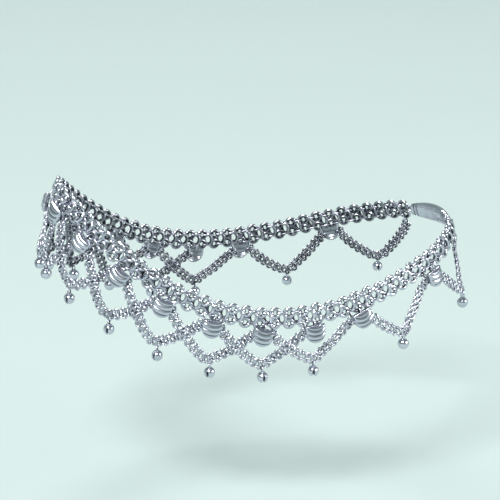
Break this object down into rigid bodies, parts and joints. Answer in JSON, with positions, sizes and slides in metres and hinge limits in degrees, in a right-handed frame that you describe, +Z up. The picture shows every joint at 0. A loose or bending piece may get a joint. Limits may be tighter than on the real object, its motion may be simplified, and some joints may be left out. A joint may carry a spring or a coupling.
{
  "type": "payal anklet with chain swags and small bells",
  "caption": "Flat silver ankle chain of ring links in a closed loop, with crossing V-shaped chain swags, small caps and small slit bells hanging below it.",
  "frame": {"origin": "middle of the loop at the band's mean height, where the wearer's ankle passes through", "axes": "+X from the toes towards the heel, +Z up the leg, -Y the near side"},
  "size_m": [0.1031, 0.0672, 0.0433],
  "materials": {
    "band_silver": "polished silver rings with dark oxidised recesses",
    "chain_silver": "fine polished silver links with dark gaps",
    "bell_silver": "bright polished silver",
    "polished_silver": "bright polished silver"
  },
  "bodies": {
    "root": {"band": "band_silver", "clasp": "polished_silver", "festoon_01": "chain_silver", "festoon_02": "chain_silver", "festoon_03": "chain_silver", "festoon_04": "chain_silver", "festoon_05": "chain_silver", "festoon_06": "chain_silver", "festoon_07": "chain_silver", "festoon_08": "chain_silver", "festoon_09": "chain_silver", "festoon_10": "chain_silver", "festoon_11": "chain_silver", "festoon_12": "chain_silver", "festoon_13": "chain_silver", "festoon_14": "chain_silver", "festoon_15": "chain_silver", "festoon_16": "chain_silver", "festoon_17": "chain_silver", "bell_01": "bell_silver", "bell_02": "bell_silver", "bell_03": "bell_silver", "bell_04": "bell_silver", "bell_05": "bell_silver", "bell_06": "bell_silver", "bell_07": "bell_silver", "bell_08": "bell_silver", "bell_09": "bell_silver", "bell_10": "bell_silver", "bell_11": "bell_silver", "bell_12": "bell_silver", "bell_13": "bell_silver", "bell_14": "bell_silver", "bell_15": "bell_silver", "bell_16": "bell_silver", "bell_17": "bell_silver", "cap_01": "polished_silver", "cap_02": "polished_silver", "cap_03": "polished_silver", "cap_04": "polished_silver", "cap_05": "polished_silver", "cap_06": "polished_silver", "cap_07": "polished_silver", "cap_08": "polished_silver", "cap_09": "polished_silver", "cap_10": "polished_silver", "cap_11": "polished_silver", "cap_12": "polished_silver", "cap_13": "polished_silver", "cap_14": "polished_silver", "cap_15": "polished_silver", "cap_16": "polished_silver", "cap_17": "polished_silver"}
  },
  "joints": []
}
